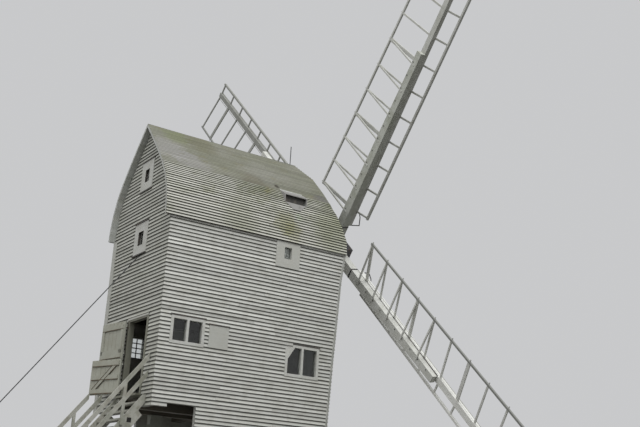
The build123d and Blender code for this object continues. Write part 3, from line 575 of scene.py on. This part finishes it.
breastLine = np.array([
    (1.95, 3.55), (2.07, 5.83), (2.21, 8.0), (2.32, 8.8),
    (2.32, 9.15), (2.08, 10.06), (1.97, 11.15), (1.6, 11.59),
])
roofShape = np.array([  # shares of half the roof's width and of its height
    (0.0, 1.0), (0.31, 0.798), (0.53, 0.649), (0.7, 0.518),
    (0.835, 0.394), (0.929, 0.255), (0.977, 0.121), (1.0, 0.0),
])
roofLine = roofShape * (mill["roofHalf"], mill["ridgeZ"] - mill["roofFootZ"]) + (0, mill["roofFootZ"])
sideHoles = {  # low X, high X, low Z, high Z of each framed opening
    "rearWindow": (-2.49, -1.61, 5.745, 6.395),
    "frontWindow": (0.65, 1.64, 5.375, 6.17),
    "blindHatch": (-1.49, -0.97, 5.77, 6.3),
    "highHatch": (0.185, 0.89, 8.07, 8.74),
}
tailHoles = {  # low Y, high Y, low Z, high Z
    "doorway": (-1.09, 0.09, 4.3, 6.48),
    "middleWindow": (-0.43, 0.33, 8.1, 8.915),
    "atticWindow": (-0.37, 0.33, 9.79, 10.59),
}
tailWindows = [tailHoles[name] for name in ("middleWindow", "atticWindow")]
shaftHole = {"z": 9.19, "radius": 0.33}


def breastX(z):
    return float(np.interp(z, breastLine[:, 1], breastLine[:, 0]))


def roofPlace(z):
    # half width of the roof's outer face at a height
    return float(np.interp(z, roofLine[::-1, 1], roofLine[::-1, 0]))


def courseHoles(holes, z, shown):
    middle = z + shown / 2
    return [(a, b) for a, b, low, high in holes if low < middle < high]


def sideRuns(side):
    # courses from the eave down; below the body only the skirt goes on
    runs = []
    slack = boards["slack"]
    for z in np.arange(eaveZ - exposure, mill["skirtZ"] - slack, -exposure):
        front = breastX(z)
        rear = mill["skirtRearX"] if z < baseZ - slack else tailX
        if baseZ - slack <= z < baseZ + mill["cornerDrop"] - slack:
            spans = [(tailX, mill["cornerX"]), (mill["skirtRearX"], front)]
        else:
            spans = courseSpans(rear, front, courseHoles(sideHoles.values(), z, exposure))
        up, out = (0, 0, 1), (0, side, 0)
        runs += courseRows(spans, lambda x: (x, side * halfWidth, z), up, out, exposure, (tailX, front))
    return runs


def wallReach(z, gableZ):
    # half length of an end wall's course, which the roof narrows above a height
    inner = roofPlace(z + exposure) - boards["inset"]
    return min(halfWidth, inner) if z > gableZ else halfWidth


def tailRuns():
    # courses from the eave down to the body's foot, then from the eave up to the ridge
    runs = []
    heights = [
        *np.arange(eaveZ - exposure, baseZ - boards["slack"], -exposure),
        *np.arange(eaveZ, boards["gableTop"], exposure),
    ]
    for z in heights:
        reach = wallReach(z, eaveZ - boards["gableFrom"])
        if reach < boards["least"]:
            continue
        spans = courseSpans(-reach, reach, courseHoles(tailHoles.values(), z, exposure))
        runs += courseRows(spans, lambda y: (tailX, y, z), (0, 0, 1), (-1, 0, 0), exposure, endCorners)
    return runs


def breastRuns():
    # courses up each part of the breast's bent line, cut round the shaft
    runs = []
    for low, high in zip(breastLine[:-1], breastLine[1:]):
        length = math.hypot(*(high - low))
        lean, rise = (high - low) / length
        rows = max(1, round(length / exposure))
        for row in range(rows):
            x, z = low + (high - low) * row / rows
            reach = wallReach(z, eaveZ)
            if reach < boards["least"]:
                continue
            off = z + exposure / 2 - shaftHole["z"]
            gap = math.sqrt(max(shaftHole["radius"] ** 2 - off**2, 0.0))
            spans = courseSpans(-reach, reach, [(-gap, gap)] if gap else [])
            up, out = (lean, 0, rise), (rise, 0, -lean)
            runs += courseRows(spans, lambda y: (x, y, z), up, out, length / rows, endCorners)
    return runs


for side, name in ((-1, "near_side_boards"), (1, "far_side_boards")):
    lapBoards(name, sideRuns(side), "white_board")
lapBoards("tail_boards", tailRuns(), "tail_board", "white_board")
lapBoards("breast_boards", breastRuns(), "white_board")
print("wall boards laid")

roofBoards = {
    "smoothFrom": 10.26, "exposure": 0.074, "tailX": -2.92, "hoodHole": (0.485, 1.185, 9.87, 10.31),
    # part, finish and butt
    "parts": (("roof_boards", "roof_board", 0.017), ("roof_top_boards", "roof_top", 0.004)),
}


def roofRuns(side, top):
    # courses that follow the half outline by arc length, from the eave up
    outline = roofLine[::-1]
    place = np.concatenate([[0.0], np.cumsum(np.hypot(*np.diff(outline, axis=0).T))])
    rows = round(place[-1] / roofBoards["exposure"])
    edges = np.linspace(0, place[-1], rows + 1)
    ys = side * np.interp(edges, place, outline[:, 0])
    zs = np.interp(edges, place, outline[:, 1])
    runs = []
    for y, z, nextY, nextZ in zip(ys, zs, ys[1:], zs[1:]):
        if (z >= roofBoards["smoothFrom"]) != top:
            continue
        shown = math.hypot(nextY - y, nextZ - z)
        up = np.array([0.0, nextY - y, nextZ - z]) / shown
        out = (0.0, side * up[2], -side * up[1])
        front = breastX(max(z + 0.5 * shown, eaveZ))
        holes = courseHoles([roofBoards["hoodHole"]], z, nextZ - z) if side < 0 else []
        spans = courseSpans(roofBoards["tailX"], front, holes)
        runs += courseRows(spans, lambda x: (x, y, z), up, out, shown)
    return runs


for side, name in ((-1, "near"), (1, "far")):
    for top, (part, finish, butt) in enumerate(roofBoards["parts"]):
        lapBoards(f"{name}_{part}", roofRuns(side, bool(top)), finish, "roof_board", butt)
print("roof boards laid")

# lead under the hood's opening, narrower towards its foot
apron = {"top": (0.5, 1.13), "foot": (0.71, 0.93), "z": (9.7, 9.885), "thick": 0.004, "lift": 0.02}


def addApron():
    # four corners on the near slope, lifted off the boards twice: corner + lift * out
    low, high = (np.array([0.0, -roofPlace(z), z]) for z in apron["z"])
    slope = unit(high - low)
    out = np.array([0.0, -slope[2], slope[1]])
    foot, top = apron["foot"], apron["top"]
    ends = [(low, foot[0]), (low, foot[1]), (high, top[1]), (high, top[0])]
    corners = np.array([edge + (x, 0.0, 0.0) for edge, x in ends])
    lifts = np.array([apron["lift"], apron["lift"] + apron["thick"]])
    points = corners + lifts[:, None, None] * out
    addPiece("hood_apron", points, barFaces(1, 2, 4), "lead", "roof_board")


addApron()
# a near-black board a little way in the hood's opening, as painted shade inside it
hoodBack = ((0.537, 1.133), (-1.372, -1.36), (9.86, 10.14))
addSpans("hood_shade_board", [hoodBack], "tarred_oak")

# near-black strips over the openings of the long walls and under the eave, as painted shadow under each drip
# and under the roof's edge
strips = {
    "high": 0.034, "out": 0.038, "over": 0.02, "frontWide": 0.76,  # the front window's cut corner has none
    "eave": ((-2.9, 0.93), (1.7, 1.75), (8.75, 8.759)),
}
spans = bothSides(*strips["eave"])
for name, (low, high, _, top) in sideHoles.items():
    low = high - strips["frontWide"] if name == "frontWindow" else low
    spans += bothSides(
        about((low + high) / 2, (high - low) / 2 + strips["over"]),
        (halfWidth, halfWidth + strips["out"]), (top, top + strips["high"]),
    )
addSpans("opening_and_eave_shadow_strips", spans, "tarred_oak")


def behind(far, near=0.0):
    # two measures out from the tail wall's face, as a span along X
    return tailX - far, tailX - near


# a board over the doorway's head, a thin dark upright at its hinge side as painted shade in the gap there,
# and the far corner's board
doorHead = {"out": 0.042, "y": (-1.09, 0.1), "z": (6.434, 6.478)}
span = (behind(doorHead["out"]), doorHead["y"], doorHead["z"])
addSpans("doorway_head_board", [span], "tail_board", "white_board")
hingeCover = {"out": (0.03, 0.002), "y": (0.088, 0.108)}
span = (behind(*hingeCover["out"]), hingeCover["y"], (tailHoles["doorway"][2], doorHead["z"][0]))
addSpans("hinge_side_cover", [span], "rustyEdge", "tarred_oak")
farCorner = {"out": 0.036, "y": (1.5, 1.7)}
span = (behind(farCorner["out"]), farCorner["y"], (baseZ, strips["eave"][2][0]))
addSpans("far_corner_board", [span], "hatch_paint", "white_board")

# the grey back of the high hatches' panes
paneBlind = ((0.447, 0.623), (1.634, 1.638), (8.318, 8.585))
addSpans("hatch_pane_blinds", bothSides(*paneBlind), "pane_blind", "white_board")

# dark linings of the tail windows, four boards round each opening
lining = {"inset": 0.23, "deep": 0.06, "proud": 0.026, "thick": 0.003}
spans = []
for hole in tailWindows:
    left, right, bottom, top = hole + np.array([1, -1, 1, -1]) * lining["inset"]
    deep = behind(lining["proud"], lining["proud"] - lining["deep"])
    spans += [(deep, about(y, lining["thick"]), (bottom, top)) for y in (left, right)]
    spans += [(deep, (left, right), about(z, lining["thick"])) for z in (bottom, top)]
addSpans("tail_window_linings", spans, "tarred_oak")

# a drip board under and over each tail window, near-black as painted shade under it
drip = {"high": 0.028, "out": 0.052, "over": 0.02}
spans = []
for left, right, bottom, top in tailWindows:
    for z in ((bottom - drip["high"], bottom), (top, top + drip["high"])):
        spans.append((behind(drip["out"]), (left - drip["over"], right + drip["over"]), z))
addSpans("tail_drip_shade_boards", spans, "tarred_oak")

# square corner posts where the side boards meet those of the breast, painted darker as painted shade of the
# breast's laps
cornerPost = {"topZ": 8.75, "out": 0.008, "back": 0.022, "radius": 0.036}


def addCornerPosts():
    # the breast's line, moved back and out, joined point to point
    top = cornerPost["topZ"]
    line = np.vstack([breastLine[breastLine[:, 1] < top], (breastX(top), top)])
    starts, ends = [], []
    for side in (-1, 1):
        across = np.full(len(line), side * (halfWidth + cornerPost["out"]))
        places = np.column_stack([line[:, 0] - cornerPost["back"], across, line[:, 1]])
        starts += list(places[:-1])
        ends += list(places[1:])
    addRods("breast_corner_posts", starts, ends, cornerPost["radius"], 4, "shaded_corner_paint", "white_board")


addCornerPosts()

# glazing bars of the far windows, as seen through the doorway
glazing = {"y": 1.645, "deep": 0.028, "wide": 0.022, "frame": 0.07, "middle": 0.06, "rows": 4, "hidden": 0.01}


def glazingBars(hole):
    # one upright and evenly spaced cross bars in each half of a window
    low, high, bottom, top = hole + np.array([1, -1, 1, -1]) * glazing["frame"]
    left, right = about((low + high) / 2, glazing["middle"] / 2)
    deep, thin, hidden = about(glazing["y"], glazing["deep"] / 2), glazing["wide"] / 2, glazing["hidden"]
    spans = []
    for a, b in ((low, left), (right, high)):
        spans.append((about((a + b) / 2, thin), deep, (bottom - hidden, top + hidden)))
        for z in np.linspace(bottom, top, glazing["rows"] + 1)[1:-1]:
            spans.append(((a - hidden, b + hidden), deep, about(z, thin)))
    return spans


spans = glazingBars(sideHoles["rearWindow"]) + glazingBars(sideHoles["frontWindow"])
addSpans("far_glazing_bars", spans, "frame_paint")
print("strips and glazing bars fitted")

# door leaves: each is drawn along its face from the hinge, then swung open
doors = {
    "hinge": (-2.83, 0.04), "face": 0.045, "ledgeFace": 0.067, "first": 0.01, "last": 1.07, "boards": 6,
    "ledge": (0.057, 1.023), "ledgeHalf": 0.05, "braceWide": 0.15, "braceSunk": 0.002, "edge": 0.02,
    "groove": 0.003, "grooveOut": 0.0015, "grooveEnd": 0.002, "edgeOut": 0.001, "upperLedge": (0.14, 0.235),
    "leaves": {
        "lower": {"angle": 162.0, "low": 4.655, "high": 5.495, "ledges": (0.09, 0.42, 0.75)},
        "upper": {"angle": 172.0, "low": 5.505, "high": 6.42, "ledges": (0.09, 0.79)},
    },
}


def leafFrame(leaf):
    # directions along the leaf, out of its inner face and up, and where they start
    turn = math.radians(leaf["angle"])
    along, out = (-math.sin(turn), -math.cos(turn), 0.0), (math.cos(turn), -math.sin(turn), 0.0)
    return np.array([along, out, (0.0, 0.0, 1.0)]), np.array([*doors["hinge"], leaf["low"]])


def leafLines(leaf):
    # grooves between the upright boards, and rust-coloured edges under the ledges as painted shadow under
    # each ledge
    face, out = doors["face"], doors["ledgeFace"]
    tall = leaf["high"] - leaf["low"]
    jointShadows = np.linspace(doors["first"], doors["last"], doors["boards"] + 1)[1:-1]
    groove = about(face, doors["grooveOut"]), (doors["grooveEnd"], tall - doors["grooveEnd"])
    spans = [(about(along, doors["groove"] / 2), *groove) for along in jointShadows]
    edge = (face + doors["edgeOut"], out + doors["edgeOut"])
    for z in leaf["ledges"]:
        foot = z - doors["ledgeHalf"]
        spans.append((doors["ledge"], edge, (foot - doors["edge"], foot)))
    return spans


def addBraceEdges():
    # two rust-coloured rods along the diagonal brace of the lower leaf, rust and painted shadow along its two
    # edges
    leaf = doors["leaves"]["lower"]
    low, high = doors["ledge"]
    wide, face = doors["braceWide"], doors["ledgeFace"] - doors["braceSunk"]
    top, foot = leaf["ledges"][-1] - doors["ledgeHalf"], leaf["ledges"][0] + doors["ledgeHalf"]
    drop = (high - low - wide) / (leaf["ledges"][-1] - leaf["ledges"][0]) * doors["ledgeHalf"]
    axes, hinge = leafFrame(leaf)
    starts = hinge + [(low + drop + shift, face, top) for shift in (0, wide)] @ axes
    ends = hinge + [(high - wide - drop + shift, face, foot) for shift in (0, wide)] @ axes
    radius = doors["edge"] / 2
    addRods("lower_leaf_brace_edges", starts, ends, radius, 6, "rustyEdge", "door_paint", "lower_leaf")


for key, leaf in doors["leaves"].items():
    spans, name = leafLines(leaf), f"{key}_leaf"
    addSpans(f"{name}_lines", spans, "rustyEdge", "door_paint", *leafFrame(leaf), name)
addBraceEdges()
# the deep lower ledge of the upper leaf
span = (doors["ledge"], (doors["face"], doors["ledgeFace"]), doors["upperLedge"])
place = leafFrame(doors["leaves"]["upper"])
addSpans("upper_leaf_ledge", [span], "door_paint", "door_paint", *place, "upper_leaf")
print("door leaves dressed")

# a near-black box fills the string's mortise, as painted shade inside the hole
mortise = ((-3.16, -3.055), (-1.3825, -1.36), (3.9, 4.005))
addSpans("string_mortise", [mortise], "hole_shade", "tarred_oak")

# sails: drawn about the shaft with each sail upright, as shaft, across and radius
sails = {
    "hub": (3.08, 0.0, 9.34), "tilt": 10.5, "turn": 48.5, "firstBar": 1.47, "lastBar": 9.1, "bars": 11,
    "hemAcross": 1.374, "whipShift": 0.03, "whipFront": 0.055, "whipHeel": 1.0, "radius": 9.14,
    "whip": (0.22, 0.15), "whipThick": (0.15, 0.11), "stock": (0.3, 0.2), "stockDeep": (0.22, 0.15),
    "kinds": (
        {"front": -0.005, "half": 6.35, "hem": (-0.234, 0.067)},
        {"front": 0.225, "half": 5.2, "hem": (-0.142, -0.011)},
    ),
    "pin": (0.009, 0.03, 0.009), "pinOut": 0.052, "barHalf": 0.017,
    "rodAcross": 0.19, "rodRadius": 0.008, "rodPast": (0.04, 0.03), "hemHalf": 0.03, "hemSoft": 0.012,
    "boltAcross": 0.06, "boltRadius": 0.015, "boltOut": 0.014, "boltIn": 0.01, "boltEnd": 0.1,
    "strapAt": 0.97, "strapLong": 0.045, "strapThick": 0.005, "gapHalf": 0.006, "gapOut": 0.004,
    "hemPaint": (0.22, 0.225, 0.21),
}
sailLooks = {  # the near lower sail lighter as painted light and the far upper one darker as painted shade, with their quarter turns
    "sail_near_lower": ("paleSail", 1, {
        "paint": (0.74, 0.745, 0.715), "bare": (0.6, 0.6, 0.56), "stain": (0.5, 0.505, 0.46),
    }),
    "sail_far_upper": ("shadedSail", 3, {
        "paint": (0.27, 0.275, 0.255), "bare": (0.2, 0.2, 0.175), "stain": (0.17, 0.175, 0.145),
    }),
}


def sailAxes(quarter):
    # the shaft's direction, across the sail and out along it
    tilt, turn = math.radians(sails["tilt"]), math.radians(sails["turn"] + 90 * quarter)
    shaft = np.array([math.cos(tilt), 0.0, math.sin(tilt)])
    top = np.array([-math.sin(tilt), 0.0, math.cos(tilt)])
    side = np.array([0.0, 1.0, 0.0])
    return np.array([
        shaft, side * math.cos(turn) + top * math.sin(turn), top * math.cos(turn) - side * math.sin(turn),
    ])


def sailPoints(quarter, values):
    # the hub plus each measure times its direction
    return np.array(sails["hub"]) + np.asarray(values, float) @ sailAxes(quarter)


def taper(pair, share):
    return pair[0] + (pair[1] - pair[0]) * share


def whipShare(radius):
    return (radius - sails["whipHeel"]) / (sails["radius"] - sails["whipHeel"])


for node, (name, quarter, look) in sailLooks.items():
    # the hem lath has a tone of its own
    across = sailAxes(quarter)[1]
    edge = across @ (np.array(sails["hub"]) + frameShift) + sails["hemAcross"] - sails["hemHalf"]
    hem = (tuple(across), (edge - sails["hemSoft"], edge), sails["hemPaint"])
    frame["nodes"][node].data.materials[0] = timberFinish(name, {**sailGrain, **look, "hem": hem})


def addSailFittings():
    # bar ends past the hem lath, a rod on the bars, bolts through stock and whip, and straps
    first, last = sails["firstBar"], sails["lastBar"]
    radii = np.linspace(first, last, sails["bars"])
    pins, rods, bolts, straps, jointShadows = [], [], [], [], []
    for quarter in range(4):
        kind, axes = sails["kinds"][quarter % 2], sailAxes(quarter)
        front, half = kind["front"], kind["half"]
        hem = taper(kind["hem"], np.linspace(0, 1, sails["bars"]))
        across = np.full_like(radii, sails["hemAcross"] + sails["pinOut"])
        places = sailPoints(quarter, np.stack([hem, across, radii], 1)[:-1])
        pins += [(place, sails["pin"], axes) for place in places]
        share = (sails["rodAcross"] - sails["whipShift"]) / (sails["hemAcross"] - sails["whipShift"])
        lift = sails["barHalf"] + sails["rodRadius"]
        past = sails["rodPast"]
        rods.append(sailPoints(quarter, [
            (taper((front + sails["whipFront"], edge), share) + lift, sails["rodAcross"], radius)
            for edge, radius in ((hem[0], first - past[0]), (hem[-1], last + past[1]))
        ]))
        places = np.arange(first, half - sails["boltEnd"], (last - first) / (sails["bars"] - 1) / 2)
        across = np.full_like(places, sails["boltAcross"])
        rear = front - taper(sails["stockDeep"], places / half)
        face = front + taper(sails["whipThick"], whipShare(places))
        for plane, way in ((rear, -1), (face, 1)):
            ends = (plane - way * sails["boltIn"], plane + way * sails["boltOut"])
            pairs = np.stack([np.stack([end, across, places], 1) for end in ends], 1)
            bolts += list(sailPoints(quarter, pairs))
        radius = sails["strapAt"]
        deep, wide = taper(sails["stockDeep"], radius / half), taper(sails["stock"], radius / half)
        centre = sailPoints(quarter, (front - deep / 2, 0.0, radius))
        size = (deep / 2 + sails["strapThick"], wide / 2 + sails["strapThick"], sails["strapLong"] / 2)
        straps.append((centre, size, axes))
        # a near-black strip in the joint between stock and whip, as painted shadow in the gap: a rectangle at
        # each end of it
        ends = np.array([sails["whipHeel"], half])
        reach = taper(sails["whip"], whipShare(ends)) / 2 + sails["gapOut"]
        joint = np.zeros((2, 4, 3))
        joint[..., 0] = front + sails["gapHalf"] * ringCorners[:, 0]
        joint[..., 1] = sails["whipShift"] + reach[:, None] * ringCorners[:, 1]
        joint[..., 2] = ends[:, None]
        jointShadows.append(sailPoints(quarter, joint))
    for name, rows, finish in (("sail_bar_ends", pins, "sail_wood"), ("stock_straps", straps, "black_iron")):
        centres, halves, axes = (np.array(column) for column in zip(*rows))
        addBoxes(name, centres, halves, finish, axes=axes, body="sails")
    rods, bolts = np.array(rods), np.array(bolts)
    addRods("sail_hem_rods", rods[:, 0], rods[:, 1], sails["rodRadius"], 6, "sail_wood", body="sails")
    addRods("sail_bolts", bolts[:, 0], bolts[:, 1], sails["boltRadius"], 6, "black_iron", body="sails")
    addPiece("stock_joint_shadows", jointShadows, barFaces(4, 2, 4), "tarred_oak", body="sails")
    print("sails fitted:", len(bolts), "bolts")


addSailFittings()

# brick piers, as degrees round the post and heights
piers = {
    "places": ((45, 0.85), (225, 0.85), (135, 1.18), (315, 1.18)), "side": 0.76, "radius": 2.8,
    "stretcher": 0.215, "header": 0.1025, "brickHigh": 0.065, "halfDeep": 0.05, "joint": 0.01,
    "proud": 0.006, "toneSpread": 0.3,
}


def pierBricks():
    # a box for each brick, side by side along the four faces of each pier, courses turned about
    bricks = []
    joint, deep = piers["joint"], piers["halfDeep"]
    inward = deep - piers["proud"] - piers["side"] / 2
    lengths = np.array([piers["header"]] + [piers["stretcher"]] * 3)
    lengths *= (piers["side"] - 4 * joint) / lengths.sum()
    for degrees, height in piers["places"]:
        angle = math.radians(degrees)
        spot = piers["radius"] * np.array([math.cos(angle), math.sin(angle), 0.0])
        courses = round(height / (piers["brickHigh"] + joint))
        step = height / courses
        for course in range(courses):
            longs = lengths[::-1] if course % 2 else lengths
            middles = np.cumsum(longs + joint) - (longs + joint + piers["side"]) / 2
            for quarter in range(4):
                turn = angle + quarter * math.pi / 2
                along, out = (math.cos(turn), math.sin(turn), 0.0), (-math.sin(turn), math.cos(turn), 0.0)
                axes = np.array([along, out, (0.0, 0.0, 1.0)])
                for middle, length in zip(middles, longs):
                    place = spot + (middle, inward, (course + 0.5) * step) @ axes
                    bricks.append((place, (length / 2, deep, (step - joint) / 2), axes))
    return [np.array(column) for column in zip(*bricks)]


centres, halves, axes = pierBricks()
tones = chance.normal(0, piers["toneSpread"], len(centres))
addBoxes("pier_bricks", centres, halves, "brick", axes=axes, body="trestle", tones=tones)
print("piers laid:", len(centres), "bricks")


# floor, light and camera
studio = {
    "floorColour": (0.62, 0.62, 0.61), "floorBounce": (0.1, 0.1, 0.09), "floorReach": 60.0,
    "sky": 0.7, "skyColour": (1.0, 1.0, 1.0), "backdrop": (0.58, 0.585, 0.595), "lampSize": 16.0,
    "aimZ": 7.0,
    "lamps": (("key", (-3.0, -20.0, 32.0), 7200.0), ("fill", (-27.0, -3.0, 20.0), 1900.0)),
}


def seenShare(owner):
    # 1 for rays from the camera and for what shows in metal or through glass, else 0
    rays = addNode(owner, "ShaderNodeLightPath").outputs
    seen = rays["Is Camera Ray"]
    for ray in ("Is Glossy Ray", "Is Transmission Ray"):
        seen = addNode(owner, "ShaderNodeMath", {"operation": "MAXIMUM"}, in0=seen, in1=rays[ray]).outputs[0]
    return seen


def makeFloor():
    # a flat square, pale where it shows and dull where it lights the mill
    mesh = bpy.data.meshes.new("floor")
    corners = np.column_stack([ringCorners * studio["floorReach"], np.zeros(4)])
    mesh.from_pydata(corners.tolist(), [], [(0, 1, 2, 3)])
    floor = addObject("floor", mesh)
    material = newMaterial("floorPale")
    colour = mixColour(material, seenShare(material), studio["floorBounce"], studio["floorColour"])
    addShader(material, {"Base Color": colour, "Roughness": 0.9, "Specular IOR Level": 0.1})
    mesh.materials.append(material)


def makeLight():
    world = bpy.data.worlds.new("overcast")
    bpy.context.scene.world = world
    world.use_nodes = True
    world.node_tree.nodes.clear()
    light, back = (
        addNode(world, "ShaderNodeBackground", Color=colour, Strength=strength).outputs[0]
        for colour, strength in ((studio["skyColour"], studio["sky"]), (studio["backdrop"], 1.0))
    )
    mix = addNode(world, "ShaderNodeMixShader", in0=seenShare(world), in1=light, in2=back)
    addNode(world, "ShaderNodeOutputWorld", in0=mix.outputs[0])
    for name, place, power in studio["lamps"]:
        data = bpy.data.lights.new(name, "AREA")
        data.energy, data.size = power, studio["lampSize"]
        lamp = addObject(name, data)
        lamp.location = place
        x, y, z = np.array((mill["postX"], 0, studio["aimZ"])) - np.array(place)
        lamp.rotation_euler = (math.atan2(math.hypot(x, y), -z), 0, math.atan2(y, x) - math.pi / 2)


view = {  # where the photograph was taken from, about the post
    "place": (-11.702, -21.771, 2.026), "yaw": 33.22, "pitch": 17.79, "roll": 3.236, "focalPixels": 959.65,
    "wide": 640, "sensor": 36.0, "clip": 500.0,
}


def makeCamera():
    # forward from yaw and pitch, then right and up turned by the roll
    yaw, pitch, roll = (math.radians(view[key]) for key in ("yaw", "pitch", "roll"))
    forward = np.array([math.sin(yaw) * math.cos(pitch), math.cos(yaw) * math.cos(pitch), math.sin(pitch)])
    right = np.array([math.cos(yaw), -math.sin(yaw), 0.0])
    up = np.cross(right, forward)
    data = bpy.data.cameras.new("camera")
    data.sensor_width = view["sensor"]
    data.lens = view["focalPixels"] / view["wide"] * view["sensor"]
    data.clip_end = view["clip"]
    camera = addObject("camera", data)
    matrix = np.eye(4)
    matrix[:3, 0] = right * math.cos(roll) + up * math.sin(roll)
    matrix[:3, 1] = up * math.cos(roll) - right * math.sin(roll)
    matrix[:3, 2] = -forward
    matrix[:3, 3] = np.array(view["place"]) + frameShift
    camera.matrix_world = mathutils.Matrix(matrix.tolist())
    bpy.context.scene.camera = camera


makeFloor()
makeLight()
makeCamera()
bpy.context.scene.view_settings.view_transform = "Standard"
print("floor, light and camera set")
